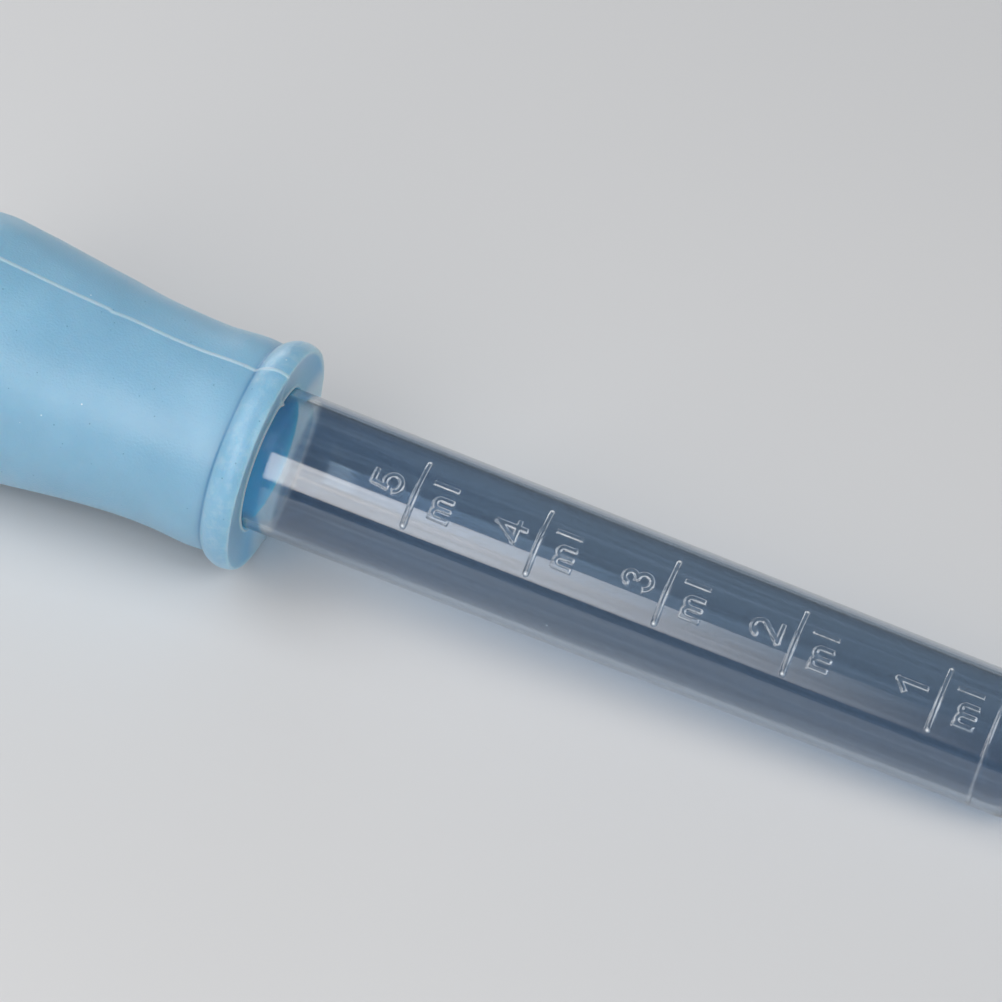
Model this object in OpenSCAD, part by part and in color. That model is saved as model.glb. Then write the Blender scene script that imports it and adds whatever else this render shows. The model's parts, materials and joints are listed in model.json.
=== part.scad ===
// A dropper pipette: a squeeze bulb pushed over the wide end of a clear, tapered measuring tube.
// It lies on its side, resting on the bead round the bulb's mouth and on the far end of the barrel.
// Lengths are in millimetres and angles in degrees.

/* [Bulb] */
// Length of the bulb, from the front of its mouth to the end of its dome
bulb_len = 39.9; // [32:0.1:60]
// Radius of the bulb's belly, which is also the radius of its dome
belly_r = 11.2; // [9.5:0.05:14]
// Wall of the bulb at its belly
bulb_wall = 1.4; // [1:0.05:3]
// Angle at which the belly starts to narrow towards the neck
flare_angle = 5.5; // [2:0.1:9]
// Wall of the neck at its waist, around the tube
neck_wall = 2.92; // [2:0.02:3.6]
// Distance of the waist behind the mouth
waist_at = 8.2; // [7:0.1:10]
// How far the neck swells out again in front of the waist
swell_h = 0.21; // [0:0.01:0.5]
// Distance of the swelling behind the mouth
swell_at = 4.5; // [3.6:0.1:6]
// Depth of the seat in which the bulb grips the tube
seat_len = 12; // [10.5:0.5:16]

/* [Rim bead] */
// How far the bead stands out from the waist
bead_h = 0.95; // [0.6:0.01:1.4]
// Radius of the bead's rounded section
bead_round = 2.2; // [1.9:0.05:2.6]
// Distance of the bead's widest ring behind the mouth
bead_at = 1.22; // [1:0.02:1.5]
// Length of the bead, from the mouth back to its crease against the neck
bead_len = 2.95; // [2.4:0.05:3.1]
// How far the mouth lies below the outer edge of the bead's dished front
dish_depth = 0.44; // [0.1:0.02:0.8]
// How far the soft bead and its seam are pressed flat where they rest on the surface
press_depth = 0.14; // [0.1:0.01:0.3]

/* [Moulding seam] */
// Width of the raised seam that runs round the bulb
seam_w = 0.34; // [0.2:0.02:0.6]
// Height of the seam
seam_h = 0.08; // [0.04:0.01:0.2]

/* [Tube] */
// Outside radius of the tube where it leaves the bulb
tube_r = 6.25; // [5:0.05:7.5]
// Angle by which each side of the barrel narrows towards the nozzle
tube_draft = 0.445; // [0.2:0.005:0.8]
// Wall of the barrel
tube_wall = 0.7; // [0.5:0.05:1.2]
// Length of the barrel in front of the bulb, up to the shoulder
barrel_len = 66.5; // [50:0.5:90]
// Length of the tube that is inside the bulb
insert_len = 11; // [8:0.5:14]
// Rounding of the tube's mouth
mouth_round = 0.25; // [0.1:0.05:0.35]

/* [Nozzle] */
// Length of the shoulder between the barrel and the nozzle
shoulder_len = 6.5; // [5:0.5:10]
// Length of the nozzle
nozzle_len = 47; // [30:1:70]
// Outside radius of the nozzle at its root
nozzle_root_r = 2.8; // [2.5:0.05:3.4]
// Outside radius of the nozzle's straight tip
tip_r = 2; // [1.9:0.05:2.4]
// Length of the straight tip
tip_len = 12; // [6:0.5:20]
// Radius of the nozzle's bore
tip_bore_r = 1.1; // [0.6:0.05:1.5]
// Rounding of the tip's outer edge
tip_round = 0.2; // [0.1:0.05:0.3]

/* [Measuring marks] */
// Distance of the first line from the mouth of the bulb
first_line_at = 13.06; // [10:0.02:16]
// Distance of the last line from the end of the barrel
last_line_gap = 7.4; // [6:0.1:12]
// Gaps between the lines, one for each millilitre, in proportion to each other
line_gaps = [10.95, 11.3, 11.25, 12.55]; // [9:0.05:14]
// Width of a line
line_w = 0.34; // [0.2:0.02:0.6]
// Part of a turn that a line covers
line_sweep = 59.5; // [30:0.5:90]
// Direction in which the marks face, turned from straight up towards the front
marks_turn = 26.5; // [0:0.5:90]
// Height by which the marks are raised
mark_h = 0.12; // [0.06:0.01:0.25]
// Height of a digit
digit_h = 2.75; // [2:0.05:3.5]
// Height of the letter l in ml
letter_h = 2.25; // [1.6:0.05:3]
// Width of the strokes in the digits and letters
stroke_w = 0.38; // [0.25:0.01:0.5]
// Distance from a line to the digit and to the letters on either side of it
text_gap = 1.1; // [0.8:0.05:1.5]
// Distance of the fine moulding ring from the end of the barrel
ring_gap = 2.5; // [1.5:0.1:5]
// Width of the moulding ring
ring_w = 0.24; // [0.1:0.02:0.5]
// Height of the moulding ring
ring_h = 0.05; // [0.02:0.01:0.1]

/* [Fits] */
// Clearance between the tube and the bulb's seat, on the radius
seat_gap = 0.02; // [0.01:0.01:0.1]

/* [Hidden] */
$fn = 96;

// Places along the common axis, counted from the mouth of the bulb towards the nozzle
draft = tan(tube_draft);
dome_at = belly_r - bulb_len;
nozzle_at = barrel_len + shoulder_len;
tip_at = nozzle_at + nozzle_len;
curve_steps = 14;
edge_steps = 5;

// Radii that follow from the tube, and the chamfer at the mouth of the bulb's seat
mouth_chamfer = 0.08;
function tube_outer(s) = tube_r - draft * s;
function tube_inner(s) = tube_outer(s) - tube_wall;
waist_r = tube_r + seat_gap + neck_wall;
bead_r = waist_r + bead_h;
mouth_r = tube_r + seat_gap + mouth_chamfer;

// Points of an arc about c, and of a curve with the slope m at each of its knots [s, r, m]
function arc(c, r, from, to, n = curve_steps) =
    [for (i = [0 : n]) let (a = from + (to - from) * i / n) c + r * [cos(a), sin(a)]];
function blend(a, b, t) = let (h = b[0] - a[0])
    [a[0] + t * h,
     (2 * t ^ 3 - 3 * t ^ 2 + 1) * a[1] + (t ^ 3 - 2 * t ^ 2 + t) * h * a[2]
     + (3 * t ^ 2 - 2 * t ^ 3) * b[1] + (t ^ 3 - t ^ 2) * h * b[2]];
function curve(knots, n = curve_steps) =
    [for (i = [0 : len(knots) - 2]) for (j = [(i == 0 ? 0 : 1) : n]) blend(knots[i], knots[i + 1], j / n)];
// Points that round the corner p between the points a and b with the radius r
function unit(v) = v / norm(v);
function corner(a, p, b, r, n = edge_steps) =
    let (u = unit(a - p), v = unit(b - p), half = acos(u * v) / 2, mid = unit(u + v),
         c = p + mid * r / sin(half), from = c - mid * r,
         turn = 90 - half, way = sign(u[0] * v[1] - u[1] * v[0]))
    [for (i = [0 : n]) let (a1 = -turn + 2 * turn * i / n, d = (from - c) / r)
        c + r * [d[0] * cos(a1) + way * d[1] * sin(a1), d[1] * cos(a1) - way * d[0] * sin(a1)]];
function flipped(pts) = [for (i = [len(pts) - 1 : -1 : 0]) pts[i]];
function joined(lists) = [for (l = lists) for (p = l) p];
// The same line of points moved sideways by h, to the left of its direction
function grown(pts, h) = let (last = len(pts) - 1)
    [for (i = [0 : last]) let (d = unit(pts[min(i + 1, last)] - pts[max(i - 1, 0)]))
        pts[i] + h * [-d[1], d[0]]];
// Outlines are written as [s, r]; a turned shape needs them as [r, s]
function turned(pts) = [for (p = pts) [p[1], p[0]]];

// The bulb's outside, from the end of the dome to the mouth; the outer edge of the bead's front is
// rounded and set a little behind the mouth's plane
front_set = 0.1;
front_round = 0.18;
crease_slope = -0.1;
bead_c = [-bead_at, bead_r - bead_round];
crease_r = bead_c[1] + sqrt(bead_round ^ 2 - (bead_len - bead_at) ^ 2);
crease_angle = acos(-(bead_len - bead_at) / bead_round);
edge_angle = acos((bead_at - front_set) / bead_round);
edge_r = bead_c[1] + bead_round * sin(edge_angle);
bulb_neck = curve([
    [dome_at + belly_r * sin(flare_angle), belly_r * cos(flare_angle), -tan(flare_angle)],
    [-waist_at, waist_r, 0],
    [-swell_at, waist_r + swell_h, 0],
    [-bead_len, crease_r, crease_slope]]);
bulb_bead = arc(bead_c, bead_round, crease_angle, edge_angle);
bulb_front = [for (t = [0 : 0.125 : 1])
    [-front_set - dish_depth * sin(90 * t), edge_r + (mouth_r - edge_r) * t]];
bulb_outside = joined([
    arc([dome_at, 0], belly_r, 180, 90 - flare_angle + 90 / curve_steps, curve_steps),
    bulb_neck,
    [for (i = [1 : len(bulb_bead) - 2]) bulb_bead[i]],
    corner(bulb_bead[len(bulb_bead) - 2], [-front_set, edge_r], bulb_front[1], front_round),
    [for (i = [1 : len(bulb_front) - 1]) bulb_front[i]]]);

// The bulb's inside, from the mouth to the end of the hollow
hollow_r = belly_r - bulb_wall;
seat_start = -front_set - dish_depth - mouth_chamfer;
seat_end = -seat_len;
seat_slope = -0.12;
bulb_inside = joined([
    [[seat_start, tube_outer(seat_start) + seat_gap]],
    flipped(curve([
        [dome_at + hollow_r * sin(flare_angle), hollow_r * cos(flare_angle), -tan(flare_angle)],
        [seat_end, tube_outer(seat_end) + seat_gap, seat_slope]])),
    arc([dome_at, 0], hollow_r, 90 - flare_angle + 90 / curve_steps, 180)]);

// The tube's outside, from its mouth to the tip, and its inside on the way back; the inside of the
// shoulder lies a little behind the outside, so that the wall stays even
tube_end = -insert_len;
land_at = tip_at - tip_len;
bore_set = 0.4;
wide_in = barrel_len - bore_set;
narrow_in = nozzle_at - bore_set;
nozzle_slope = -(nozzle_root_r - tip_r) / (land_at - nozzle_at);
tube_outside = joined([
    corner([tube_end, tube_inner(tube_end)], [tube_end, tube_outer(tube_end)], [0, tube_outer(0)],
           mouth_round),
    curve([
        [barrel_len, tube_outer(barrel_len), -draft],
        [nozzle_at, nozzle_root_r, nozzle_slope]]),
    [[land_at, tip_r]],
    corner([land_at, tip_r], [tip_at, tip_r], [tip_at, 0], tip_round)]);
tube_inside = joined([
    [[tip_at, tip_bore_r]],
    flipped(curve([
        [wide_in, tube_inner(wide_in), -draft],
        [narrow_in, tip_bore_r, 0]])),
    corner([0, tube_inner(0)], [tube_end, tube_inner(tube_end)], [tube_end, tube_outer(tube_end)],
           mouth_round)]);

// At rest the bead, pressed flat, and the tube touch the same plane: the slope is the first one, from
// level, at which a point p of the tube's outline reaches it
bead_rest = bead_round + seam_h - press_depth;
function touching_slope(p) = let (run = [p[0] + bead_at, bead_c[1] - p[1]])
    atan(run[1] / run[0]) + asin(bead_rest / norm(run));
tilt = min([for (p = tube_outside) if (p[0] > 0) touching_slope(p)]);
mouth_z = bead_rest + bead_c[1] * cos(tilt) - bead_at * sin(tilt);
low_x = dome_at * cos(tilt) - belly_r - seam_h;
high_x = max([for (p = tube_outside) p[0] * cos(tilt) + p[1] * sin(tilt)]);

// Lays the object down: its own axis, +Z, points along +X and slopes down to the tip, and -X turns up
module laid() {
    translate([-(low_x + high_x) / 2, 0, mouth_z])
        rotate([0, 90 + tilt, 0])
            children();
}

module turned_shape(outline) {
    rotate_extrude() polygon(turned(outline));
}

// A flat band that follows the bulb's outline and stands out from it on both sides
module seam() {
    outer = grown(bulb_outside, seam_h);
    inner = grown(bulb_outside, -bulb_wall / 3);
    half = concat([for (i = [0 : len(outer) - 1]) [i == 0 ? 0 : outer[i][1], outer[i][0]]],
                  [for (i = [len(inner) - 1 : -1 : 0]) [i == 0 ? 0 : inner[i][1], inner[i][0]]]);
    rotate([90, 0, 0])
        linear_extrude(seam_w, center = true)
            for (side = [0, 1]) mirror([side, 0]) polygon(half);
}

// The space below the plane that the object lies on
module below_rest() {
    reach = 2 * bulb_len + barrel_len;
    translate([-reach, -reach, -reach]) cube([2 * reach, 2 * reach, reach]);
}

module bulb() {
    color("lightskyblue")
        difference() {
            laid() {
                turned_shape(concat(bulb_outside, bulb_inside));
                seam();
            }
            below_rest();
        }
}

// Flat strokes with round ends, for the digits and letters
module bar(p, q) {
    d = q - p;
    translate(p) circle(d = stroke_w);
    translate(q) circle(d = stroke_w);
    translate(p) rotate(atan2(d[1], d[0])) translate([0, -stroke_w / 2]) square([norm(d), stroke_w]);
}

module bow(c, r, from, to) {
    reach = 2 * r;
    translate(c) {
        intersection() {
            difference() {
                circle(r + stroke_w / 2);
                circle(r - stroke_w / 2);
            }
            polygon(concat([[0, 0]], arc([0, 0], reach, from, to, 6)));
        }
        for (a = [from, to]) translate(r * [cos(a), sin(a)]) circle(d = stroke_w);
    }
}

// Each digit stands on y = 0, centred on x = 0, and is digit_h high with its strokes
stroke_h = digit_h - stroke_w;
module digit(n) {
    h = stroke_h;
    low = stroke_w / 2;
    translate([0, low]) {
        if (n == 1) {
            bar([0.12 * h, 0], [0.12 * h, h]);
            bar([0.12 * h, h], [-0.2 * h, 0.7 * h]);
        }
        if (n == 2) {
            r = 0.27 * h;
            bow([0, h - r], r, -28, 168);
            bar([-0.29 * h, 0], [r * cos(-28), h - r + r * sin(-28)]);
            bar([-0.29 * h, 0], [0.31 * h, 0]);
        }
        if (n == 3) {
            top = 0.225 * h;
            bottom = 0.275 * h;
            bow([-0.02 * h, h - top], top, -90, 165);
            bow([-0.02 * h, bottom], bottom, -165, 90);
        }
        if (n == 4) {
            bar([0.14 * h, 0], [0.14 * h, h]);
            bar([0.14 * h, h], [-0.33 * h, 0.28 * h]);
            bar([-0.33 * h, 0.28 * h], [0.33 * h, 0.28 * h]);
        }
        if (n == 5) {
            r = 0.3 * h;
            bow([0, r], r, -165, 138);
            bar([r * cos(138), r + r * sin(138)], [-0.17 * h, h]);
            bar([-0.17 * h, h], [0.24 * h, h]);
        }
    }
}

// The letters ml, centred on x = 0, with their tops at y = letter_h
module letters() {
    h = letter_h - stroke_w;
    x_h = 0.69 * h;
    step = 0.46 * h;
    left = -0.8 * h;
    r = step / 2;
    translate([0, stroke_w / 2]) {
        for (i = [0 : 2]) bar([left + i * step, 0], [left + i * step, x_h - (i == 0 ? 0 : r)]);
        for (i = [0 : 1]) bow([left + (i + 0.5) * step, x_h - r], r, 0, 180);
        bar([left + 2 * step + 0.62 * h, 0], [left + 2 * step + 0.62 * h, h]);
    }
}

// Puts a flat drawing on the tube at s, its top towards the bulb, and raises it through the wall
module on_tube(s) {
    translate([tube_outer(s) - tube_wall / 2, 0, s])
        rotate([-90, 0, 0])
            rotate([0, 90, 0])
                linear_extrude(tube_wall / 2 + 3 * mark_h)
                    children();
}

gaps_sum = line_gaps * [for (g = line_gaps) 1];
lines_run = barrel_len - last_line_gap - first_line_at;
function gaps_before(i) = i == 0 ? 0 : line_gaps[i - 1] + gaps_before(i - 1);
function line_at(i) = first_line_at + lines_run * gaps_before(i) / gaps_sum;
line_count = len(line_gaps) + 1;

// Cuts a raised mark down to its height above the tube
module trimmed() {
    intersection() {
        children();
        cylinder(h = barrel_len, r1 = tube_outer(0) + mark_h, r2 = tube_outer(barrel_len) + mark_h);
    }
}

module marks() {
    for (i = [0 : line_count - 1]) {
        trimmed() on_tube(line_at(i)) translate([0, text_gap]) digit(line_count - i);
        trimmed() on_tube(line_at(i)) translate([0, -text_gap - letter_h]) letters();
    }
    for (i = [0 : line_count - 1]) let (s = line_at(i), half = line_w / 2, r = tube_outer(s))
        rotate([0, 0, -line_sweep / 2])
            rotate_extrude(angle = line_sweep)
                polygon([[r - tube_wall / 2, s - half], [r + mark_h, s - half],
                         [r + mark_h, s + half], [r - tube_wall / 2, s + half]]);
}

module ring() {
    s = barrel_len - ring_gap;
    r = tube_outer(s);
    rotate_extrude()
        polygon([[r - tube_wall / 2, s - ring_w / 2], [r + ring_h, s - ring_w / 4],
                 [r + ring_h, s + ring_w / 4], [r - tube_wall / 2, s + ring_w / 2]]);
}

module tube() {
    color("lightsteelblue", 0.5)
        laid()
            rotate([0, 0, 180 + marks_turn]) {
                turned_shape(concat(tube_outside, tube_inside));
                marks();
                ring();
            }
}

bulb();
tube();
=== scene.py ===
import json
import math

import bpy
import numpy as np
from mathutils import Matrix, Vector


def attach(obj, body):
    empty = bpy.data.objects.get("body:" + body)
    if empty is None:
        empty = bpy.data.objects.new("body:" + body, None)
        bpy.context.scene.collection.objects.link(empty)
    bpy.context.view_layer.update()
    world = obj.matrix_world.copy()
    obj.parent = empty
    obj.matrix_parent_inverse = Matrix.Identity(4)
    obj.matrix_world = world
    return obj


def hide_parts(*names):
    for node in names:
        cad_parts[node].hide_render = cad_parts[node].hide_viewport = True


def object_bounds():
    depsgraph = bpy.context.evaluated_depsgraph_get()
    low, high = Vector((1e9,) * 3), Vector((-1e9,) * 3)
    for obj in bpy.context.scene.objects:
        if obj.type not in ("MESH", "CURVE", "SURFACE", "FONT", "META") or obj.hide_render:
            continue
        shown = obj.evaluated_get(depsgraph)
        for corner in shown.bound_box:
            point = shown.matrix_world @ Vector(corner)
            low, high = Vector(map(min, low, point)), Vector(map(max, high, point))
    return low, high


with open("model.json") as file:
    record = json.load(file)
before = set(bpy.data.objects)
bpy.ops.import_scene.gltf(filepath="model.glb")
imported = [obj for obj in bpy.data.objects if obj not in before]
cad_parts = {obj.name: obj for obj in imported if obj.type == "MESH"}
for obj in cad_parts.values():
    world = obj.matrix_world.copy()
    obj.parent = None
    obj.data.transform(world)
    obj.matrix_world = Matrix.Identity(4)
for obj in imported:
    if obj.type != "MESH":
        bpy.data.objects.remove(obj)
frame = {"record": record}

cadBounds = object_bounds()
mm = 0.001
scene = bpy.context.scene

# the pipette's own axis: along it from the bulb to the nozzle, up from it, and out to the front side
gripMount = next(m for m in frame["record"]["mounts"] if m["name"] == "barrel_grip")
gripAt = 33 * mm                                   # how far that mount is from the bulb's mouth
along = np.array(gripMount["axis"]) / np.linalg.norm(gripMount["axis"])
front = np.array([0.0, -1.0, 0.0])
up = np.cross(front, along)
mouth = np.array(gripMount["pos_m"]) - gripAt * along
clearTurn = 0.76         # radians from up towards the front: the side where the tube is clear for longest


def placeOnAxis(s, r, turn):
    # a point s along the axis, r away from it and turned by an angle from up towards the front
    out = np.cos(turn)[..., None] * up + np.sin(turn)[..., None] * front
    return mouth + s[..., None] * along + r[..., None] * out


def arcPoints(centre, radius, fromDeg, toDeg, count):
    # centre + radius * (cos a, sin a), with the angle a going evenly from one end to the other
    a = np.radians(np.linspace(fromDeg, toDeg, count))
    return np.stack([centre[0] + radius * np.cos(a), centre[1] + radius * np.sin(a)], axis=1)


def curvePoints(knots, count):
    # cubic through knots of (s, r, slope): each stretch has its end heights and its end slopes
    parts = []
    for (s0, r0, m0), (s1, r1, m1) in zip(knots[:-1], knots[1:]):
        t = np.linspace(0, 1, count)
        h = s1 - s0
        r = ((2 * t**3 - 3 * t**2 + 1) * r0 + (t**3 - 2 * t**2 + t) * h * m0
             + (3 * t**2 - 2 * t**3) * r1 + (t**3 - t**2) * h * m1)
        parts.append(np.stack([s0 + t * h, r], axis=1)[1 if parts else 0:])
    return np.concatenate(parts)


def roundCorner(before, corner, after, radius, count):
    # an arc that touches both sides of a corner
    a, p, b = (np.array(v, float) for v in (before, corner, after))
    u, v = (a - p) / np.linalg.norm(a - p), (b - p) / np.linalg.norm(b - p)
    half = math.acos(float(u @ v)) / 2
    middle = (u + v) / np.linalg.norm(u + v)
    centre = p + middle * radius / math.sin(half)
    start = p + u * radius / math.tan(half) - centre
    end = p + v * radius / math.tan(half) - centre
    a0, a1 = math.atan2(start[1], start[0]), math.atan2(end[1], end[0])
    a1 = a0 + (a1 - a0 + math.pi) % (2 * math.pi) - math.pi
    return arcPoints(centre, radius, math.degrees(a0), math.degrees(a1), count)


def evenSteps(outline, step):
    # the same outline with points no further apart than step, counted along its length
    run = np.concatenate([[0], np.cumsum(np.linalg.norm(np.diff(outline, axis=0), axis=1))])
    at = np.linspace(0, run[-1], max(2, int(round(run[-1] / step)) + 1))
    return np.stack([np.interp(at, run, outline[:, 0]), np.interp(at, run, outline[:, 1])], axis=1)


def outwards(outline):
    # unit vectors square to the outline, to the left of its direction
    d = np.gradient(outline, axis=0)
    d /= np.linalg.norm(d, axis=1, keepdims=True)
    return np.stack([-d[:, 1], d[:, 0]], axis=1)


def smoothStep(x):
    # 0 below 0, 1 above 1, and 3x^2 - 2x^3 between them
    x = np.clip(x, 0, 1)
    return x * x * (3 - 2 * x)


def fadeIn(x, start, full):
    # 0 up to start, 1 from full on, and a smooth step between them
    return smoothStep((x - start) / (full - start))


def fadeOut(x, full, end):
    # 1 up to full, 0 from end on, and a smooth step between them
    return smoothStep((end - x) / (end - full))


def bell(x, width):
    # exp(-(x / width)^2), which is 1 in the middle and near 0 from twice the width on
    return np.exp(-(x / width)**2)


def waves(x, y, seed, size, count=9):
    # a sum of sine waves in random directions and phases, about one unit high and size long
    rng = np.random.default_rng(seed)
    total = np.zeros(np.broadcast(x, y).shape)
    for _ in range(count):
        a, phase, k = rng.uniform(0, 2 * math.pi), rng.uniform(0, 2 * math.pi), rng.uniform(0.6, 1.5)
        total += np.sin((x * math.cos(a) + y * math.sin(a)) * 2 * math.pi * k / size + phase)
    return total / math.sqrt(count)


def meshObject(name, points, faces, attributes):
    # a smooth-shaded mesh from points and faces, with one number at each point for every attribute
    mesh = bpy.data.meshes.new(name)
    mesh.from_pydata(points.tolist(), [], faces)
    mesh.update()
    mesh.polygons.foreach_set("use_smooth", np.ones(len(mesh.polygons), bool))
    for key, values in attributes.items():
        mesh.attributes.new(key, "FLOAT", "POINT").data.foreach_set("value", values.astype(np.float32))
    obj = bpy.data.objects.new(name, mesh)
    scene.collection.objects.link(obj)
    mesh.calc_loop_triangles()
    print(name + ":", len(mesh.loop_triangles), "triangles")
    return obj


def newMaterial(name):
    # a material with its nodes, its links and its main shader
    mat = bpy.data.materials.new(name)
    mat.use_nodes = True
    nodes = mat.node_tree.nodes
    return mat, nodes, mat.node_tree.links, nodes["Principled BSDF"]


def addNode(nodes, kind, **settings):
    # a node with its settings, or the values of its inputs
    node = nodes.new(kind)
    for key, value in settings.items():
        if hasattr(node, key):
            setattr(node, key, value)
        else:
            node.inputs[key.replace("_", " ")].default_value = value
    return node


def rampOf(nodes, links, source, stops):
    # colours or greys at places from 0 to 1, read at the source's value
    node = nodes.new("ShaderNodeValToRGB")
    ramp = node.color_ramp
    while len(ramp.elements) < len(stops):
        ramp.elements.new(0.5)
    for element, (at, value) in zip(ramp.elements, stops):
        element.position = at
        element.color = (*value, 1) if hasattr(value, "__len__") else (value, value, value, 1)
    links.new(source, node.inputs["Fac"])
    return node.outputs["Color"]


def mixColours(nodes, links, factor, first, second):
    # first * (1 - factor) + second * factor
    node = addNode(nodes, "ShaderNodeMix", data_type="RGBA")
    for socket, value in ((node.inputs[0], factor), (node.inputs[6], first), (node.inputs[7], second)):
        if isinstance(value, bpy.types.NodeSocket):
            links.new(value, socket)
        else:
            socket.default_value = (*value, 1) if hasattr(value, "__len__") else value
    return node.outputs[2]


def mathOf(nodes, links, operation, *values):
    # one step of arithmetic
    node = addNode(nodes, "ShaderNodeMath", operation=operation)
    for socket, value in zip(node.inputs, values):
        if isinstance(value, bpy.types.NodeSocket):
            links.new(value, socket)
        else:
            socket.default_value = value
    return node.outputs[0]


def stepOf(nodes, links, source, low, high):
    # 0 up to the low value of the source, 1 from the high one on, and smooth between them
    node = addNode(nodes, "ShaderNodeMapRange", interpolation_type="SMOOTHSTEP")
    node.inputs["From Min"].default_value = low
    node.inputs["From Max"].default_value = high
    links.new(source, node.inputs["Value"])
    return node.outputs[0]


def noiseOf(nodes, links, coords, **settings):
    # the grey value of a noise texture with these settings
    noise = addNode(nodes, "ShaderNodeTexNoise", **settings)
    links.new(coords, noise.inputs["Vector"])
    return noise.outputs["Fac"]


def attributeOf(nodes, name):
    # the number that the mesh holds under this name
    return addNode(nodes, "ShaderNodeAttribute", attribute_name=name).outputs["Fac"]


def addBump(nodes, links, shader, height, strength, distance):
    # fine relief from the height's grey value, at most distance metres high
    bump = addNode(nodes, "ShaderNodeBump", Strength=strength, Distance=distance)
    links.new(height, bump.inputs["Height"])
    links.new(bump.outputs["Normal"], shader.inputs["Normal"])


def speckMask(nodes, links, coords, cells, size, share):
    # one small ball in some cells of a Voronoi pattern: cells to the metre, ball size and share of the cells
    voronoi = addNode(nodes, "ShaderNodeTexVoronoi", Scale=cells)
    links.new(coords, voronoi.inputs["Vector"])
    ball = rampOf(nodes, links, voronoi.outputs["Distance"], [(size * 0.5, 1.0), (size, 0.0)])
    split = addNode(nodes, "ShaderNodeSeparateColor")
    links.new(voronoi.outputs["Color"], split.inputs[0])
    chosen = mathOf(nodes, links, "LESS_THAN", split.outputs[0], share)
    return mathOf(nodes, links, "MULTIPLY", ball, chosen)


bulbLook = {
    "length": 39.9,            # mm, mouth to the end of the dome
    "bellyRadius": 11.2,
    "wall": 1.4,
    "flareAngle": 5.5,         # degrees
    "waistAt": 8.2,
    "waistRadius": 9.19,
    "swellAt": 4.5,
    "swellHeight": 0.21,
    "beadRadius": 10.14,
    "beadRound": 2.2,
    "beadAt": 1.22,
    "beadLength": 2.95,
    "creaseRound": 0.3,
    "edgeRound": 0.2,
    "edgeRadius": 9.77,        # where the bead turns into its dished front
    "frontSet": 0.1,
    "dishDepth": 0.44,
    "mouthRadius": 6.35,
    "lipRadius": 6.52,         # a thin flash stands round the front of the mouth
    "lipWidth": 0.26,
    "lipHeight": 0.17,
    "lipTurn": 1.0,            # radians from up towards the front: the middle of the side with the flash
    "nickHeight": 0.8,         # how much higher the flash is at the seam, as a share
    "nickWidth": 0.3,
    "seatLength": 12.0,
    "seatRadius": 6.27,
    "seatDraft": 0.445,        # degrees
    "seamTop": 0.0583,         # half the width of the ridge's top
    "seamFoot": 0.225,         # half the width of its foot
    "seamHeight": 0.08,
    "paleTop": 0.125,          # the same for the seam's pale line
    "paleFoot": 0.25,
    "wander": 0.07,            # how far the seam wanders sideways
    "wanderLength": 11.0,
    "jogAt": 16.2,             # a small jog in the seam
    "jogLength": 1.1,
    "jogHeight": 0.16,
    "drift": 0.3,              # how far the seam moves over towards the dome
    "driftFrom": 17.0,
    "driftTo": 26.0,
    "unevenness": 0.025,       # slow waves in the moulded surface
    "unevenLength": 9.0,
    "bodyStep": 0.36,          # mesh steps along the outline
    "beadStep": 0.09,
    "lipStep": 0.045,
    "insideStep": 0.9,
    "turns": 168,              # mesh columns, without the fine ones at the seam
    "darkBlue": (0.232, 0.462, 0.643),
    "paleBlue": (0.276, 0.516, 0.698),
    "paintedShadeBlue": (0.05, 0.25, 0.47),    # painted shade: the crease behind the bead, the groove round the lip and the far side of the dish
    # painted light: a saturated blue glow inside the bulb and a little on the far side of the dish, standing
    # in for light bounced in and through the rubber
    "innerBlue": (0.035, 0.53, 0.83),
    "paleFlashAndHighlight": (0.52, 0.66, 0.75),    # the seam and the flash at the lip of the mouth, with painted highlights on the lip, the bead's front edge and the far side of the dish
    "pitBlue": (0.13, 0.31, 0.47),
    "dustColour": (0.66, 0.78, 0.86),
    "roughness": (0.295, 0.335),       # least and most
    "beadRoughness": 0.285,
}


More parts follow.
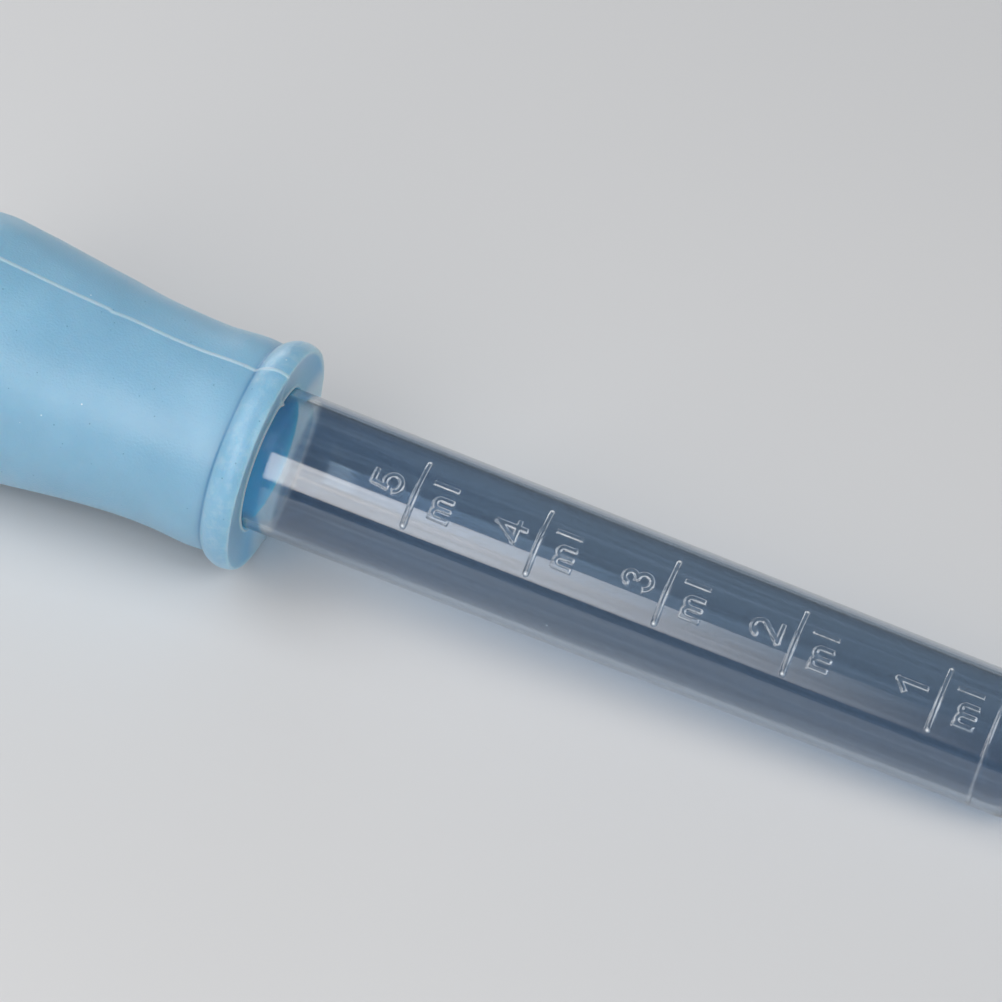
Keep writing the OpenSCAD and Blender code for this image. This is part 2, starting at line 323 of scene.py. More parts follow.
def bulbOutline(v):
    # outside: dome arc and cubic neck, then bead arc, rounded edge and quarter-sine dish;
    # inside: straight seat, cubic widening and dome arc
    domeAt = v["bellyRadius"] - v["length"]
    beadCentre = (-v["beadAt"], v["beadRadius"] - v["beadRound"])
    creaseDrop = v["beadLength"] - v["beadAt"]
    creaseRadius = beadCentre[1] + math.sqrt(v["beadRound"]**2 - creaseDrop**2)
    creaseAngle = math.degrees(math.acos(-creaseDrop / v["beadRound"]))
    edgeAngle = math.degrees(math.acos((v["beadAt"] - v["frontSet"]) / v["beadRound"]))
    edgeRadius = beadCentre[1] + v["beadRound"] * math.sin(math.radians(edgeAngle))
    flare = math.radians(v["flareAngle"])
    dome = arcPoints((domeAt, 0), v["bellyRadius"], 180, 90 - v["flareAngle"], 60)
    neck = curvePoints([
        (domeAt + v["bellyRadius"] * math.sin(flare), v["bellyRadius"] * math.cos(flare), -math.tan(flare)),
        (-v["waistAt"], v["waistRadius"], 0),
        (-v["swellAt"], v["waistRadius"] + v["swellHeight"], 0),
        (-v["beadLength"], creaseRadius, -0.1)], 40)
    bead = arcPoints(beadCentre, v["beadRound"], creaseAngle, edgeAngle, 40)
    t = np.linspace(0, 1, 40)
    dish = np.stack([-v["frontSet"] - v["dishDepth"] * np.sin(t * math.pi / 2),
                     edgeRadius + (v["mouthRadius"] - edgeRadius) * t], axis=1)
    edge = roundCorner(bead[-4], dish[0], dish[4], v["edgeRound"], 8)
    crease = roundCorner(neck[-4], neck[-1], bead[4], v["creaseRound"], 6)
    body = evenSteps(np.concatenate([dome[:-1], neck[:-4]]), v["bodyStep"])
    rim = evenSteps(np.concatenate([neck[-4:-3], crease, bead[4:-3], edge, dish[4:31]]), v["beadStep"])
    outside = np.concatenate([body, rim[:-1], evenSteps(dish[30:], v["lipStep"])])

    seatStart, seatEnd = dish[-1, 0] - 0.08, -v["seatLength"]     # the mouth's edge is 0.08 mm wide
    draft = math.tan(math.radians(v["seatDraft"]))
    hollow = v["bellyRadius"] - v["wall"]
    seat = np.array([[at, v["seatRadius"] - draft * at] for at in (seatStart, seatEnd)])
    cavity = curvePoints([
        (domeAt + hollow * math.sin(flare), hollow * math.cos(flare), -math.tan(flare)),
        (seatEnd, seat[1, 1], -0.12)], 40)[::-1]
    innerDome = arcPoints((domeAt, 0), hollow, 90 - v["flareAngle"], 180, 60)
    inside = evenSteps(np.concatenate([evenSteps(seat, 1.5)[:-1], cavity, innerDome[1:]]), v["insideStep"])
    return outside, inside


def revolvedSkin(rows, columns):
    # quads between rows of columns, and a fan of triangles at the pole on each end
    i, j = np.meshgrid(np.arange(rows - 1), np.arange(columns), indexing="ij")
    k = (j + 1) % columns
    here, after = i * columns, (i + 1) * columns
    quads = np.stack([here + j, here + k, after + k, after + j], axis=-1)
    j = np.arange(columns)
    k = (j + 1) % columns
    start, end = rows * columns, rows * columns + 1
    last = (rows - 1) * columns
    startFan = np.stack([np.full(columns, start), k, j], axis=1)
    endFan = np.stack([np.full(columns, end), last + j, last + k], axis=1)
    return quads.reshape(-1, 4).tolist() + startFan.tolist() + endFan.tolist()


def seamOffset(v, s):
    # how far the seam is off the middle plane: slow waves, one small jog and a drift towards the dome
    jog = v["jogHeight"] * bell(s + v["jogAt"], v["jogLength"]) * (s > -v["jogAt"])
    drift = v["drift"] * fadeIn(-s, v["driftFrom"], v["driftTo"])
    return v["wander"] * waves(s, 0 * s, 5, v["wanderLength"]) + jog + drift


def frontMasks(v, s, r, turn, isOutside):
    # where the colours of the bead and its dished front change, each from 0 to 1:
    # smooth steps and bells of the place along the axis, the radius and the turn
    onDish = isOutside & (s > -1.2)
    nearSide = fadeIn(np.cos(turn - v["lipTurn"]), -0.35, 0.35)
    farSide = (1 - nearSide) * onDish
    return {
        # the flash round the mouth, paler of its own, with a painted highlight on the near side
        "lip": fadeOut(np.abs(r - v["lipRadius"]) / (v["lipWidth"] / 2), 0.3, 1.3) * nearSide * onDish,
        # painted highlight along the bead's front edge
        "edge": bell(r - v["edgeRadius"], 0.1) * fadeIn(s, -0.5, -0.35) * isOutside,
        "farSide": farSide,
        # painted light: the far band of the dish seen through the tube is painted paler
        "paintedLightBehindTube": fadeIn(-np.cos(turn - clearTurn), 0.3, 0.65) * farSide,
        # painted highlight along the far edge of the dish
        "farEdgeHighlight": fadeIn(r, 9.3, 9.6) * farSide,
        # painted shade in the crease behind the bead
        "crease": bell(s + v["beadLength"], 0.13) * isOutside,
        # painted shade in the groove round the lip, on the near side of the dish
        "grooveShade": (fadeOut(r, 7.2, 8.8) * fadeIn(r, v["lipRadius"], v["lipRadius"] + 0.25)
                   * nearSide * onDish),
        "bead": fadeIn(s, -v["beadLength"], 0.4 - v["beadLength"]) * fadeIn(r, 9.2, 9.6) * isOutside}


def makeBulb(v):
    # the outline turned about the axis, lifted by the seam's ridge, by slow waves and by the flash
    outside, inside = bulbOutline(v)
    whole = np.concatenate([outside, inside])
    line, square = whole[1:-1], outwards(whole)[1:-1]    # without the two poles
    isOutside = (np.arange(len(line)) < len(outside) - 1)[:, None]

    fine = np.radians(np.arange(-3.6, 3.61, 0.24))       # columns across each seam
    coarse = np.linspace(fine[-1], math.pi + fine[0], v["turns"] // 2)[1:-1]
    turn = np.concatenate([fine, coarse, math.pi + fine, math.pi + coarse])
    s, r = line[:, :1] + 0 * turn, line[:, 1:] + 0 * turn

    offSeam = np.abs(r * np.sin(turn) - seamOffset(v, s))
    ridge = fadeOut(offSeam, v["seamTop"], v["seamFoot"])
    paleLine = fadeOut(offSeam, v["paleTop"], v["paleFoot"]) * isOutside
    slow = waves(s, r * np.cos(turn) + 1.7 * r * np.sin(turn), 11, v["unevenLength"])
    hollows = v["unevenness"] * fadeIn(-s, 0.0, 4.0) * (slow - 1.6)     # nearly all below the outline
    lift = (v["seamHeight"] * ridge + hollows) * isOutside
    mask = frontMasks(v, s, r, turn, isOutside)
    nick = 1 + v["nickHeight"] * bell(r * np.sin(turn), v["nickWidth"]) * (np.cos(turn) > 0)
    rise = v["lipHeight"] * mask["lip"] * nick + lift * square[:, :1]
    points = placeOnAxis((s + rise) * mm, (r + lift * square[:, 1:]) * mm, turn + 0 * s)
    poles = placeOnAxis(whole[[0, -1], 0] * mm, whole[[0, -1], 1] * mm, np.zeros(2))
    points = np.concatenate([points.reshape(-1, 3), poles])
    points[:, 2] = np.maximum(points[:, 2], cadBounds[0][2])   # the soft bead lies flat where it rests

    farSideShade = 0.3 * (mask["farSide"] - mask["paintedLightBehindTube"])    # painted shade, darker and bluer, on the far side of the dish beside the tube
    # the seam's own paler colour, the flash at the lip with its painted highlight, and painted highlights
    # and light on the bead's front edge and the far side of the dish
    paleFlashAndPaintedLight = [0.75 * paleLine, mask["lip"], 0.6 * mask["edge"], mask["farEdgeHighlight"], 1.2 * mask["paintedLightBehindTube"]]
    marks = {"paleFlashAndPaintedLight": np.maximum.reduce(paleFlashAndPaintedLight),
             # painted shade: the crease, the groove and the far side of the dish
             "paintedShade": np.maximum.reduce([mask["crease"], 0.3 * mask["grooveShade"], farSideShade]),
             # painted glow of bounced light: the inside, and a little of the far side of the dish
             "bead": mask["bead"], "inner": 1.0 - isOutside + farSideShade}
    atPoints = {key: np.append(values.ravel(), [0, key == "inner"])      # the last two are the poles
                for key, values in marks.items()}
    return meshObject("squeezeBulb", points, revolvedSkin(len(line), len(turn)), atPoints)


def siliconeMaterial(v):
    # cloudy blue rubber with a paler seam and flash, fine pits, dust and grain; painted shade in the crease,
    # the groove and on the far side of the dish, a deeper blue painted inside as a glow of bounced light,
    # and painted highlights on the bead's front edge and the far dish
    mat, nodes, links, shader = newMaterial("softSilicone")
    coords = addNode(nodes, "ShaderNodeTexCoord").outputs["Object"]
    shader.inputs["IOR"].default_value = 1.41
    shader.inputs["Specular IOR Level"].default_value = 0.8
    shader.inputs["Subsurface Weight"].default_value = 0.85
    shader.inputs["Subsurface Radius"].default_value = (0.35, 0.8, 1.0)
    shader.inputs["Subsurface Scale"].default_value = 0.003
    shader.inputs["Sheen Weight"].default_value = 0.2
    shader.inputs["Sheen Roughness"].default_value = 0.3
    shader.inputs["Sheen Tint"].default_value = (0.75, 0.92, 1.0, 1)

    cloud = noiseOf(nodes, links, coords, Scale=140.0, Detail=3.0, Roughness=0.55)
    colour = rampOf(nodes, links, cloud, [(0.3, v["darkBlue"]), (0.7, v["paleBlue"])])
    pits = speckMask(nodes, links, coords, cells=1150.0, size=0.1, share=0.45)
    colour = mixColours(nodes, links, pits, colour, v["pitBlue"])
    dust = speckMask(nodes, links, coords, cells=640.0, size=0.06, share=0.16)
    colour = mixColours(nodes, links, dust, colour, v["dustColour"])
    bead = attributeOf(nodes, "bead")
    mottle = noiseOf(nodes, links, coords, Scale=1100.0, Detail=3.0, Roughness=0.6)
    mottle = rampOf(nodes, links, mottle, [(0.45, 0.0), (0.72, 0.35)])
    mottle = mathOf(nodes, links, "MULTIPLY", mottle, bead)
    colour = mixColours(nodes, links, mottle, colour, v["paleFlashAndHighlight"])
    # painted shade, a painted glow inside, and the pale seam and flash with painted highlights
    layers = (("paintedShade", 0.7, v["paintedShadeBlue"]), ("inner", 1.0, v["innerBlue"]), ("paleFlashAndPaintedLight", 0.8, v["paleFlashAndHighlight"]))
    for name, share, paint in layers:
        amount = mathOf(nodes, links, "MULTIPLY", attributeOf(nodes, name), share)
        colour = mixColours(nodes, links, amount, colour, paint)
    links.new(colour, shader.inputs["Base Color"])

    least, most = v["roughness"]
    rough = rampOf(nodes, links, cloud, [(0.35, least), (0.65, most)])
    links.new(mixColours(nodes, links, bead, rough, (v["beadRoughness"],) * 3), shader.inputs["Roughness"])
    grain = noiseOf(nodes, links, coords, Scale=5200.0, Detail=2.0)
    addBump(nodes, links, shader, grain, strength=0.5, distance=0.00007)
    return mat


bulb = makeBulb(bulbLook)
bulb.data.materials.append(siliconeMaterial(bulbLook))
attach(bulb, "root")
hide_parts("bulb")

tubeLook = {
    "radius": 6.25,            # mm, outside, at the bulb's mouth
    "draft": 0.445,            # degrees
    "wall": 0.7,
    "barrel": 66.5,
    "inside": 11.0,            # length that is inside the bulb
    "mouthRound": 0.25,
    "shoulder": 6.5,
    "nozzle": 47.0,
    "nozzleRoot": 2.8,
    "tipRadius": 2.0,
    "tipLength": 12.0,
    "boreRadius": 1.1,
    "boreSet": 0.4,
    "tipRound": 0.2,
    "linesAt": (13.06, 24.01, 35.31, 46.55, 59.1),
    "lineWidth": 0.34,
    "lineSweep": 59.5,         # degrees
    "marksTurn": 26.5,         # degrees from up towards the front
    "markHeight": 0.12,
    "digitHeight": 2.75,
    "letterHeight": 2.25,
    "stroke": 0.38,
    "textGap": 1.1,
    "slope": 0.12,             # how wide the sloping side of a raised mark is
    "lineEnd": 0.17,           # size of the whitish spot at each end of a line
    "ringAt": 64.0,
    "ringWidth": 0.24,
    "ringHeight": 0.05,
    "beforeLine": 4.1,         # the fine mesh starts that far before a line and ends that far after it
    "afterLine": 3.6,
    "textHalf": 1.75,          # half the width of the finely meshed text
    "fineStep": 0.074,
    "coarseRows": 8,           # away from the marks one row in so many is kept
    "turns": 150,              # mesh columns away from the marks
    "clearTint": (0.925, 0.97, 0.985),     # beside the bulb, up to tintFrom
    "tintFrom": 1.35,
    "tintTo": 1.9,
    "tintSlant": 1.7,                      # clear that much further at clearTurn, and less far opposite
    "bulbTint": (0.30, 0.41, 0.54),        # where the tint starts, turning into the next one up to blueTo
    "tint": (0.39, 0.478, 0.57),
    "blueTo": 28.0,
    "drawnTint": (0.53, 0.615, 0.70),      # in the lines that drawing the tube leaves
    "slantTint": (0.31, 0.405, 0.51),      # where one looks along the wall
    "nozzleTint": (0.68, 0.76, 0.83),
    # white of the marks; on the sides of the raised marks partly a painted highlight
    "markColour": (0.93, 0.95, 0.97),
    "skin": 0.7,                           # strength of the polished skin's gloss, where the wall is tinted
    "clearness": (0.98, 0.23),             # of the plain wall, and of whitish places
    "roughness": (0.05, 0.30),
    "depthTint": (0.45, 0.58, 0.70),       # inside the wall
    "depthDensity": 60.0,
    "shadeFrom": 4.0,                      # the tube's shadow deepens from here
    "shadeTo": 20.0,
    "shade": ((0.93, 0.96, 0.98), (0.65, 0.72, 0.78)),         # before and after that
    "slantShade": ((0.82, 0.88, 0.92), (0.46, 0.54, 0.62)),    # where light comes in at a slant
}


def strokesDistance(x, y, strokes):
    # distance to the nearest stroke: straight ones (from, to) and round ones (centre, radius, from, to),
    # the larger of the way off a stroke's middle and the way beyond its end, so that the ends are square
    roundShort = 0.1                               # round strokes end that much sooner
    found = []
    for stroke in strokes:
        if len(stroke) == 2:
            p, q = (np.array(end, float) for end in stroke)
            length = np.linalg.norm(q - p)
            dx, dy = (q - p) / length
            reached = (x - p[0]) * dx + (y - p[1]) * dy
            beyond = np.maximum(-reached, reached - length)
            found.append(np.maximum(np.abs((x - p[0]) * dy - (y - p[1]) * dx), beyond))
            continue
        c, r, start, end = stroke
        middle, half = math.radians((start + end) / 2), math.radians((end - start) / 2)
        a = (np.arctan2(y - c[1], x - c[0]) - middle + math.pi) % (2 * math.pi) - math.pi
        beyond = (np.abs(a) - half) * r + roundShort
        found.append(np.maximum(np.abs(np.hypot(x - c[0], y - c[1]) - r), beyond))
    return np.minimum.reduce(found)


def digitStrokes(n, h):
    # the middles of a digit's strokes, h high, standing on y = 0
    if n == 1:
        return [((0.12 * h, 0), (0.12 * h, h)), ((0.12 * h, h), (-0.2 * h, 0.7 * h))]
    if n == 2:
        r, a = 0.27 * h, math.radians(-28)
        return [((0, h - r), r, -28, 168), ((-0.29 * h, 0), (0.31 * h, 0)),
                ((-0.29 * h, 0), (r * math.cos(a), h - r + r * math.sin(a)))]
    if n == 3:
        return [((-0.02 * h, 0.775 * h), 0.225 * h, -90, 165), ((-0.02 * h, 0.275 * h), 0.275 * h, -165, 90)]
    if n == 4:
        return [((0.14 * h, 0), (0.14 * h, h)), ((0.14 * h, h), (-0.33 * h, 0.28 * h)),
                ((-0.33 * h, 0.28 * h), (0.33 * h, 0.28 * h))]
    r, a = 0.3 * h, math.radians(138)
    return [((0, r), r, -165, 138), ((-0.17 * h, h), (0.24 * h, h)),
            ((r * math.cos(a), r + r * math.sin(a)), (-0.17 * h, h))]


def letterStrokes(h):
    # the middles of the strokes of the letters ml, standing on y = 0
    left, step, low = -0.8 * h, 0.46 * h, 0.69 * h
    r = step / 2
    strokes = [((left + i * step, 0), (left + i * step, low - (r if i else 0))) for i in range(3)]
    strokes += [((left + (i + 0.5) * step, low - r), r, 0, 180) for i in range(2)]
    last = left + 2 * step + 0.62 * h
    return strokes + [((last, 0), (last, h))]


def marksDistance(v, s, turn):
    # how far a point of the barrel is outside the nearest raised mark, below 0 inside it,
    # and how near it is to the end of a line
    radius = v["radius"] - math.tan(math.radians(v["draft"])) * s
    x = -radius * ((turn - math.radians(v["marksTurn"]) + math.pi) % (2 * math.pi) - math.pi)
    near = np.full(np.broadcast(s, turn).shape, np.inf)
    blob = np.zeros_like(near)
    half = v["stroke"] / 2
    for i, lineAt in enumerate(v["linesAt"]):
        y = lineAt - s
        reach = radius * math.radians(v["lineSweep"] / 2) - v["lineWidth"] / 2
        line = np.hypot(np.maximum(np.abs(x) - reach, 0), y) - v["lineWidth"] / 2
        digit = digitStrokes(len(v["linesAt"]) - i, v["digitHeight"] - v["stroke"])
        digit = strokesDistance(x, y - v["textGap"] - half, digit) - half
        text = letterStrokes(v["letterHeight"] - v["stroke"])
        text = strokesDistance(x, y + v["textGap"] + v["letterHeight"] - half, text) - half
        near = np.minimum.reduce([near, line, digit, text])
        blob = np.maximum(blob, bell(np.hypot(np.abs(x) - reach, y), v["lineEnd"]))
    return near, blob


def tubeRows(v):
    # (s, r) once round the wall: rounded mouth, barrel, shoulder, nozzle, tip, bore, inner wall;
    # with the rows that lie on the barrel, and those of them that cross the marks
    draft = math.tan(math.radians(v["draft"]))
    start, end = -v["inside"], v["barrel"]
    nozzleAt = end + v["shoulder"]
    tipAt = nozzleAt + v["nozzle"]
    landAt = tipAt - v["tipLength"]
    slope = -(v["nozzleRoot"] - v["tipRadius"]) / (landAt - nozzleAt)

    def outer(s, wall=0.0):
        return np.stack(np.broadcast_arrays(s, v["radius"] - draft * np.asarray(s) - wall), axis=-1)

    wall = v["wall"]
    mouthIn = roundCorner(outer(0, wall), outer(start, wall), outer(start), v["mouthRound"], 5)
    mouthOut = roundCorner(outer(start, wall), outer(start), outer(0), v["mouthRound"], 5)
    fine = [np.arange(at - v["beforeLine"], at + v["afterLine"], v["fineStep"]) for at in v["linesAt"]]
    plain = [np.linspace(a[-1], b[0], 7)[1:-1] for a, b in zip(fine[:-1], fine[1:])]
    zone = np.sort(np.concatenate(fine + plain))
    ring = np.linspace(v["ringAt"] - 0.5, v["ringAt"] + 0.5, 21)
    s = np.concatenate([np.linspace(mouthOut[-1, 0], zone[0], 28)[1:-1], zone, ring, [end - 1.2]])
    shoulder = curvePoints([(*outer(end), -draft), (nozzleAt, v["nozzleRoot"], slope)], 20)
    nozzle = evenSteps(np.array([[nozzleAt, v["nozzleRoot"]], [landAt, v["tipRadius"]]]), 2.5)[1:]
    tip = roundCorner((landAt, v["tipRadius"]), (tipAt, v["tipRadius"]), (tipAt, 0), v["tipRound"], 6)
    boreIn, wideIn = nozzleAt - v["boreSet"], end - v["boreSet"]
    bore = evenSteps(np.array([[tipAt, v["boreRadius"]], [boreIn, v["boreRadius"]]]), 3.0)
    innerShoulder = curvePoints([(*outer(wideIn, wall), -draft), (boreIn, v["boreRadius"], 0)], 20)[::-1]
    innerWall = evenSteps(np.array([outer(wideIn, wall), mouthIn[0]]), 2.0)
    rows = np.concatenate([mouthOut, outer(s), shoulder, nozzle, tip, bore, innerShoulder[1:],
                           innerWall[1:-1], mouthIn])
    onBarrel = (np.arange(len(rows)) >= len(mouthOut)) & (np.arange(len(rows)) < len(mouthOut) + len(s))
    inMarks = onBarrel & (rows[:, 0] >= zone[0]) & (rows[:, 0] <= zone[-1])
    return rows, onBarrel, inMarks


def loopFaces(rows, columns, base):
    # quads of an open band of columns, whose rows run once round the wall
    i, j = np.meshgrid(np.arange(rows), np.arange(columns - 1), indexing="ij")
    here, after = base + i * columns, base + (i + 1) % rows * columns
    quads = np.stack([here + j, here + j + 1, after + j + 1, after + j], axis=-1)
    return quads.reshape(-1, 4).tolist()


def tubeSkin(v, rows, onBarrel, turn):
    # points, distance to the marks, whiteness of line ends, ring and cut end, place along the tube, and
    # the same place moved back by tintSlant * cos(turn from clearTurn), for all rows at the given turns
    s, r = rows[:, :1] + 0 * turn, rows[:, 1:] + 0 * turn
    near, blob = marksDistance(v, s, turn)
    farOff = 0.6                                   # mm, beyond which the distance doesn't matter
    near = np.where(onBarrel[:, None], np.minimum(near, farOff), farOff)
    offRing = np.abs(s - v["ringAt"]) - v["ringWidth"] / 2
    ring = fadeOut(offRing, -0.06, 0.06) * onBarrel[:, None]
    tipAt = v["barrel"] + v["shoulder"] + v["nozzle"]
    cutEnd = fadeIn(s, tipAt - 0.3, tipAt - 0.1)
    blob = blob * onBarrel[:, None] + 0.3 * ring + 0.5 * cutEnd
    mark = fadeOut(near, -v["slope"] / 2, v["slope"] / 2)
    height = np.maximum(v["markHeight"] * mark, v["ringHeight"] * ring)
    points = placeOnAxis(s * mm, (r + height) * mm, turn + 0 * s)
    haze = s - v["tintSlant"] * np.cos(turn - clearTurn)
    return points.reshape(-1, 3), near.ravel(), blob.ravel(), s.ravel(), haze.ravel()


def fineColumns(v):
    # turns of the fine band's columns: close together at the ends of the lines and through the text,
    # and eight wider ones on each side between them
    meanRadius = 5.95                              # mm, of the barrel through the marks
    middle, half = math.radians(v["marksTurn"]), math.radians(v["lineSweep"] / 2)
    first, last = middle - half, middle + half
    step, text = v["fineStep"] / meanRadius, v["textHalf"] / meanRadius
    beyond, within, gap = 0.07, 0.05, 0.005        # radians, around the end of a line
    return np.concatenate([
        np.arange(first - beyond, first + within, step),
        np.linspace(first + within + gap, middle - text, 9)[:-1],
        np.arange(middle - text, middle + text, step),
        np.linspace(middle + text + step, last - within - gap, 9)[:-1],
        np.arange(last - within, last + beyond, step)])


def makeTube(v):
    # a finely meshed band through the marks and a coarser one round the rest, sewn to each other
    rows, onBarrel, inMarks = tubeRows(v)
    columns = fineColumns(v)
    rest = np.linspace(columns[-1], columns[0] + 2 * math.pi, v["turns"])[1:-1]
    kept = np.flatnonzero(~inMarks | (np.cumsum(inMarks) % v["coarseRows"] == 1))    # the coarse band's rows
    fineBand = tubeSkin(v, rows, onBarrel, columns)
    restBand = tubeSkin(v, rows[kept], onBarrel[kept], rest)

    nRows, nFine, nRest = len(rows), len(columns), len(rest)
    base = nRows * nFine
    faces = loopFaces(nRows, nFine, 0) + loopFaces(len(kept), nRest, base)
    for n, first in enumerate(kept):               # each sewing face has all the fine rows on one side
        m = (n + 1) % len(kept)
        between = [q % nRows for q in range(first, (kept[m] if m else nRows) + 1)]
        faces.append([int(q) * nFine + nFine - 1 for q in between[::-1]]
                     + [base + n * nRest, base + m * nRest])
        faces.append([int(q) * nFine for q in between]
                     + [base + m * nRest + nRest - 1, base + n * nRest + nRest - 1])
    names = ("near", "blob", "run", "haze")
    points, *marks = (np.concatenate(pair) for pair in zip(fineBand, restBand))
    return meshObject("measuringTube", points, faces, dict(zip(names, marks)))


def numberBetween(nodes, links, factor, ends):
    # the first of two numbers where the factor is 0, the second where it is 1
    return mathOf(nodes, links, "MULTIPLY_ADD", factor, ends[1] - ends[0], ends[0])


def clearPlasticMaterial(v):
    # tinted clear plastic; the sides of the raised marks, partly frosted and partly a painted highlight, and
    # the ends of the lines are whitish
    mat, nodes, links, shader = newMaterial("clearPlastic")
    coords = addNode(nodes, "ShaderNodeTexCoord").outputs["Object"]
    near, blob, run, haze = (attributeOf(nodes, name) for name in ("near", "blob", "run", "haze"))
    shader.inputs["IOR"].default_value = 1.58
    shader.inputs["Coat Roughness"].default_value = 0.05

    centred = mathOf(nodes, links, "ADD", near, 0.5)       # the edge of a mark is at 0.5
    # whitish sides of the raised marks: partly frosted plastic, partly a painted highlight of their bright
    # outlines, broken up by noise
    rim = rampOf(nodes, links, centred, [(0.42, 0.06), (0.465, 0.62), (0.505, 0.62), (0.555, 0.0)])
    rimNoise = noiseOf(nodes, links, coords, Scale=900.0, Detail=2.0)
    rimShare = rampOf(nodes, links, rimNoise, [(0.35, 0.5), (0.6, 1.0)])
    rim = mathOf(nodes, links, "MULTIPLY", rim, rimShare)
    specks = speckMask(nodes, links, coords, cells=290.0, size=0.03, share=0.5)
    white = mathOf(nodes, links, "MAXIMUM", mathOf(nodes, links, "MAXIMUM", rim, blob), specks)
    links.new(numberBetween(nodes, links, white, v["clearness"]), shader.inputs["Transmission Weight"])
    links.new(numberBetween(nodes, links, white, v["roughness"]), shader.inputs["Roughness"])
    tinted = stepOf(nodes, links, haze, v["tintFrom"], v["tintTo"])
    links.new(mathOf(nodes, links, "MULTIPLY", tinted, v["skin"]), shader.inputs["Coat Weight"])

    # drawn lines along the tube: noise that is 40 mm long and 0.6 mm wide
    tilt = math.atan2(-along[2], along[0])
    turned = addNode(nodes, "ShaderNodeMapping", vector_type="TEXTURE",
                     Rotation=(0, tilt, 0), Scale=(40 * mm, 0.6 * mm, 0.6 * mm))
    links.new(coords, turned.inputs["Vector"])
    drawn = noiseOf(nodes, links, turned.outputs["Vector"], Scale=1.0, Detail=2.0)

    line = rampOf(nodes, links, drawn, [(0.5, 0.0), (0.7, 1.0)])
    edge = addNode(nodes, "ShaderNodeLayerWeight", Blend=0.5)
    edge = rampOf(nodes, links, edge.outputs["Facing"], [(0.45, 0.0), (0.78, 1.0)])
    onNozzle = stepOf(nodes, links, run, v["barrel"], v["barrel"] + v["shoulder"])
    colour = mixColours(nodes, links, stepOf(nodes, links, run, 0.0, v["blueTo"]), v["bulbTint"], v["tint"])
    colour = mixColours(nodes, links, line, colour, v["drawnTint"])
    colour = mixColours(nodes, links, tinted, v["clearTint"], colour)
    colour = mixColours(nodes, links, edge, colour, v["slantTint"])
    colour = mixColours(nodes, links, onNozzle, colour, v["nozzleTint"])
    links.new(mixColours(nodes, links, white, colour, v["markColour"]), shader.inputs["Base Color"])

    # the drawn lines and faint rings from the mould as relief
    rings = addNode(nodes, "ShaderNodeTexNoise", noise_dimensions="1D", Scale=4.0, Detail=2.0)
    links.new(run, rings.inputs["W"])
    relief = mathOf(nodes, links, "MULTIPLY_ADD", rings.outputs["Fac"], 0.12, drawn)
    addBump(nodes, links, shader, relief, strength=0.05, distance=0.0001)

    # lamps shine through the clear wall, a little less at a slant
    clear = addNode(nodes, "ShaderNodeBsdfTransparent")
    slant = addNode(nodes, "ShaderNodeLayerWeight", Blend=0.35)
    shaded = stepOf(nodes, links, run, v["shadeFrom"], v["shadeTo"])
    shade = mixColours(nodes, links, shaded, *v["shade"])
    slantShade = mixColours(nodes, links, shaded, *v["slantShade"])
    links.new(mixColours(nodes, links, slant.outputs["Facing"], shade, slantShade), clear.inputs["Color"])
    path = addNode(nodes, "ShaderNodeLightPath")
    mix = addNode(nodes, "ShaderNodeMixShader")
    links.new(path.outputs["Is Shadow Ray"], mix.inputs[0])
    links.new(shader.outputs[0], mix.inputs[1])
    links.new(clear.outputs[0], mix.inputs[2])
    output = nodes["Material Output"]
    links.new(mix.outputs[0], output.inputs["Surface"])
    depth = addNode(nodes, "ShaderNodeVolumeAbsorption",
                    Color=(*v["depthTint"], 1), Density=v["depthDensity"])
    links.new(depth.outputs[0], output.inputs["Volume"])
    return mat


tube = makeTube(tubeLook)
tube.data.materials.append(clearPlasticMaterial(tubeLook))
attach(tube, "root")
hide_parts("tube")

studioLook = {
    "floorColour": (0.68, 0.69, 0.705),
    "floorRoughness": 0.7,
    "floorHalf": 4.0,                    # m, half its side
    "worldColour": (0.93, 0.96, 1.0),
    "worldStrength": 0.16,
    "keyFrom": (-76, -404, 287),        # mm from the bulb's mouth
    "keySize": (321, 400),
    "keyPower": 1.6,                     # W
    "keyColour": (1.0, 0.94, 0.885),
    "keyFade": (0.072, 0.533, 0.05),     # shares of its width on the left and right, and of its height
    "topFrom": (-330, -110, 420),
    "topSize": (400, 500),
    "topPower": 1.45,
    "fillFrom": (420, -160, 380),
    "fillSize": (350, 350),
    "fillPower": 1.35,
    "backFrom": (-300, 420, 130),
    "backSize": (300, 160),
    "backPower": 0.5,
    "lens": 161.68,                     # mm on a 36 mm sensor
    "cameraFrom": (97.65, -251.14, 265.28),
    "cameraTurn": (45.0, -4.506, 21.698),       # degrees
}


def makeFloor(v):
    # one large square under the pipette
    half, z = v["floorHalf"], cadBounds[0][2]
    mesh = bpy.data.meshes.new("floor")
    corners = [(-half, -half, z), (half, -half, z), (half, half, z), (-half, half, z)]
    mesh.from_pydata(corners, [], [(0, 1, 2, 3)])
    floor = bpy.data.objects.new("floor", mesh)
    scene.collection.objects.link(floor)
    mat, nodes, links, shader = newMaterial("paleFloor")
    shader.inputs["Base Color"].default_value = (*v["floorColour"], 1)
    shader.inputs["Roughness"].default_value = v["floorRoughness"]
    mesh.materials.append(mat)


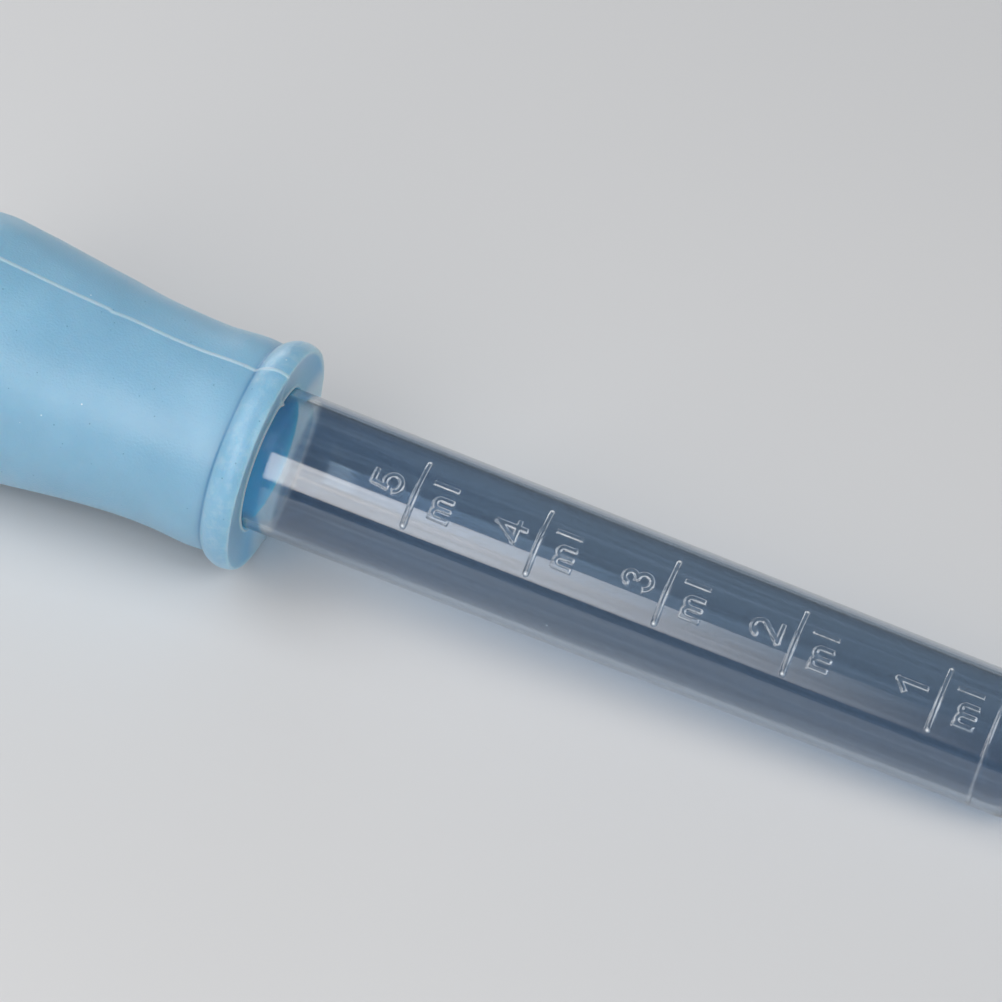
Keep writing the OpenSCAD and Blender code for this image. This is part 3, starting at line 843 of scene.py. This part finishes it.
def areaLight(name, fromMouth, sizes, power, aimAt=20):
    # a rectangle of light that looks at the axis, aimAt mm from the bulb's mouth
    data = bpy.data.lights.new(name, "AREA")
    data.shape = "RECTANGLE"
    data.size, data.size_y = sizes[0] * mm, sizes[1] * mm
    data.energy = power
    light = bpy.data.objects.new(name, data)
    scene.collection.objects.link(light)
    place = mouth + np.array(fromMouth) * mm
    target = mouth + aimAt * mm * along
    light.location = place
    light.rotation_euler = Vector(target - place).to_track_quat("-Z", "Y").to_euler()
    return data


def softenEdges(data, left, right, side):
    # the box is dimmer towards its edges: smooth ramps over these shares of its width and its height
    data.use_nodes = True
    nodes, links = data.node_tree.nodes, data.node_tree.links
    place = addNode(nodes, "ShaderNodeSeparateXYZ")
    links.new(addNode(nodes, "ShaderNodeNewGeometry").outputs["Parametric"], place.inputs[0])
    shares = []
    for value, low, high in ((0, 0.0, left), (0, 1.0, 1.0 - right), (1, 0.0, side), (1, 1.0, 1.0 - side)):
        shares.append(stepOf(nodes, links, place.outputs[value], low, high))
    both = mathOf(nodes, links, "MULTIPLY", shares[0], shares[1])
    both = mathOf(nodes, links, "MULTIPLY", both, mathOf(nodes, links, "MULTIPLY", shares[2], shares[3]))
    links.new(both, nodes["Emission"].inputs["Strength"])


def makeStudio(v):
    # sky, soft key box, top box over the bulb, fill from the nozzle's side, low box behind, and the camera
    world = bpy.data.worlds.new("studio")
    scene.world = world
    world.use_nodes = True
    world.node_tree.nodes["Background"].inputs["Color"].default_value = (*v["worldColour"], 1)
    world.node_tree.nodes["Background"].inputs["Strength"].default_value = v["worldStrength"]
    key = areaLight("keyBox", v["keyFrom"], v["keySize"], v["keyPower"], v["keyFrom"][0])
    key.color = v["keyColour"]
    softenEdges(key, *v["keyFade"])
    areaLight("topBox", v["topFrom"], v["topSize"], v["topPower"])
    areaLight("fillBox", v["fillFrom"], v["fillSize"], v["fillPower"])
    areaLight("backBox", v["backFrom"], v["backSize"], v["backPower"])

    camera = bpy.data.cameras.new("camera")
    camera.lens = v["lens"]
    camera.sensor_width = 36
    camera.clip_start = 0.01
    eye = bpy.data.objects.new("camera", camera)
    scene.collection.objects.link(eye)
    eye.location = mouth + np.array(v["cameraFrom"]) * mm
    eye.rotation_euler = [math.radians(a) for a in v["cameraTurn"]]
    scene.camera = eye
    scene.view_settings.view_transform = "Standard"


makeFloor(studioLook)
makeStudio(studioLook)
print("floor, lights and camera are set")
